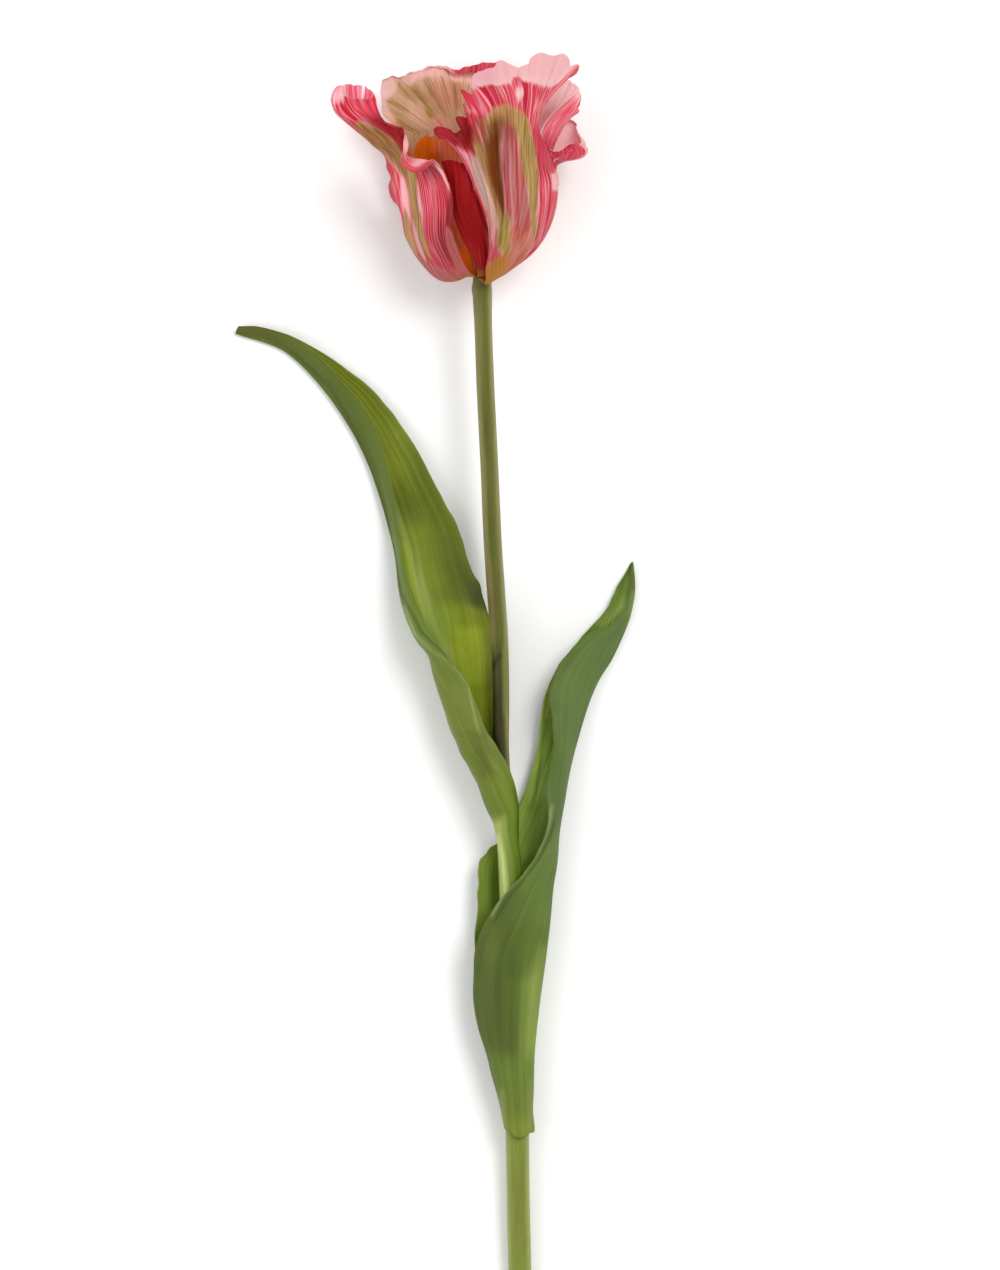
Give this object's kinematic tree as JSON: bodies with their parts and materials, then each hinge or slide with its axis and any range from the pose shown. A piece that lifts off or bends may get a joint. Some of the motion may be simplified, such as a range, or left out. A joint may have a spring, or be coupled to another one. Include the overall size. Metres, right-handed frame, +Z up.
{
  "type": "parrot tulip",
  "caption": "Cut parrot tulip lying on its side: ruffled, flame-striped cup-shaped bloom on a slender stem with long clasping leaves, for a table, a tray or a bunch",
  "frame": {"origin": "centre of the bounding box in plan, at the level of the surface the flower lies on", "axes": "+Z up, away from the surface; +Y along the stem toward the bloom; +X to the side of the smaller leaf, seen from above"},
  "size_m": [0.1516, 0.4778, 0.067],
  "materials": {
    "stem_green": "satin, olive green with a purplish streak",
    "leaf_green": "waxy, yellow green with fine parallel veins",
    "leaf_dark": "waxy, blue green with fine parallel veins",
    "tepal_crimson": "soft, crimson and pink streaks over an olive flame",
    "tepal_pink": "soft, pale pink and cream with olive veins",
    "filament_cream": "smooth, cream",
    "anther_dark": "powdery, purple black",
    "pistil_green": "smooth, pale green"
  },
  "bodies": {
    "root": {"stem": "stem_green", "leaf_upper": "leaf_green", "leaf_lower": "leaf_dark", "tepal_outer_front": "tepal_crimson", "tepal_outer_left": "tepal_crimson", "tepal_outer_right": "tepal_crimson", "tepal_inner_front": "tepal_crimson", "tepal_inner_right": "tepal_crimson", "tepal_inner_back": "tepal_pink", "pistil": "pistil_green", "filament_1": "filament_cream", "filament_2": "filament_cream", "filament_3": "filament_cream", "filament_4": "filament_cream", "filament_5": "filament_cream", "filament_6": "filament_cream", "anther_1": "anther_dark", "anther_2": "anther_dark", "anther_3": "anther_dark", "anther_4": "anther_dark", "anther_5": "anther_dark", "anther_6": "anther_dark"}
  },
  "joints": []
}
